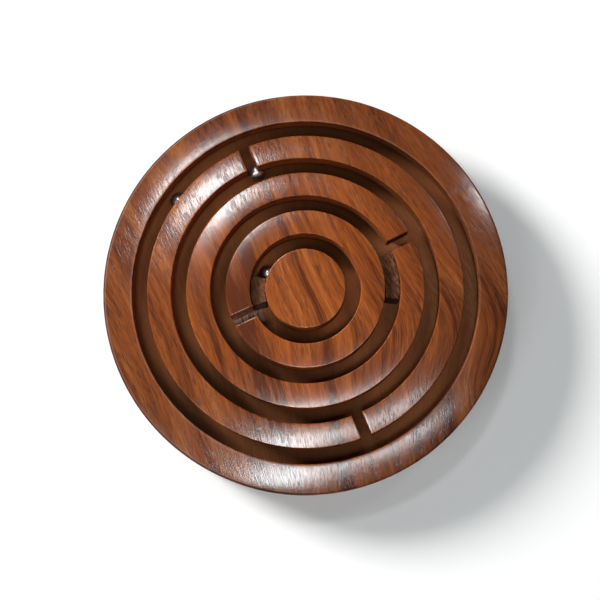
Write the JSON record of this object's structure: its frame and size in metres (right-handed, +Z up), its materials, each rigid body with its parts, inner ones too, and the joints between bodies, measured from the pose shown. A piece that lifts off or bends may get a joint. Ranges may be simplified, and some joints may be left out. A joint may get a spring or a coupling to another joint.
{
  "type": "ball maze puzzle",
  "caption": "Round hand-held wooden ball maze: steel balls roll in covered ring tracks under a domed face, seen through slots, and pass the walls at gates.",
  "frame": {"origin": "centre of the flat underside of the base board", "axes": "+Z up through the middle of the domed face, +X to the right and +Y to the top of the face as pictured"},
  "size_m": [0.1194, 0.1194, 0.022],
  "materials": {
    "rosewood": "satin",
    "stop_wood": "rough",
    "steel": "polished"
  },
  "bodies": {
    "maze": {"base_board": "rosewood", "rim": "rosewood", "outer_wall_left": "rosewood", "outer_wall_right": "rosewood", "middle_wall": "rosewood", "inner_wall": "rosewood", "centre_disc": "rosewood", "middle_stop": "stop_wood", "inner_stop": "stop_wood"},
    "outer_ball": {"outer_ball": "steel"},
    "gate_ball": {"gate_ball": "steel"},
    "inner_ball": {"inner_ball": "steel"}
  },
  "joints": [
    {"name": "outer_ball_run", "type": "hinge", "parent": "maze", "child": "outer_ball", "pos_m": [0, 0, 0.01085], "axis": [0, 0, 1], "continuous": true},
    {"name": "gate_ball_pass", "type": "slide", "parent": "maze", "child": "gate_ball", "axis": [-0.3649, 0.9311, 0], "range_m": [-0.00305, 0.00855]},
    {"name": "inner_ball_run", "type": "hinge", "parent": "maze", "child": "inner_ball", "pos_m": [0, 0, 0.01085], "axis": [0, 0, 1], "range_deg": [-301, 0]}
  ]
}
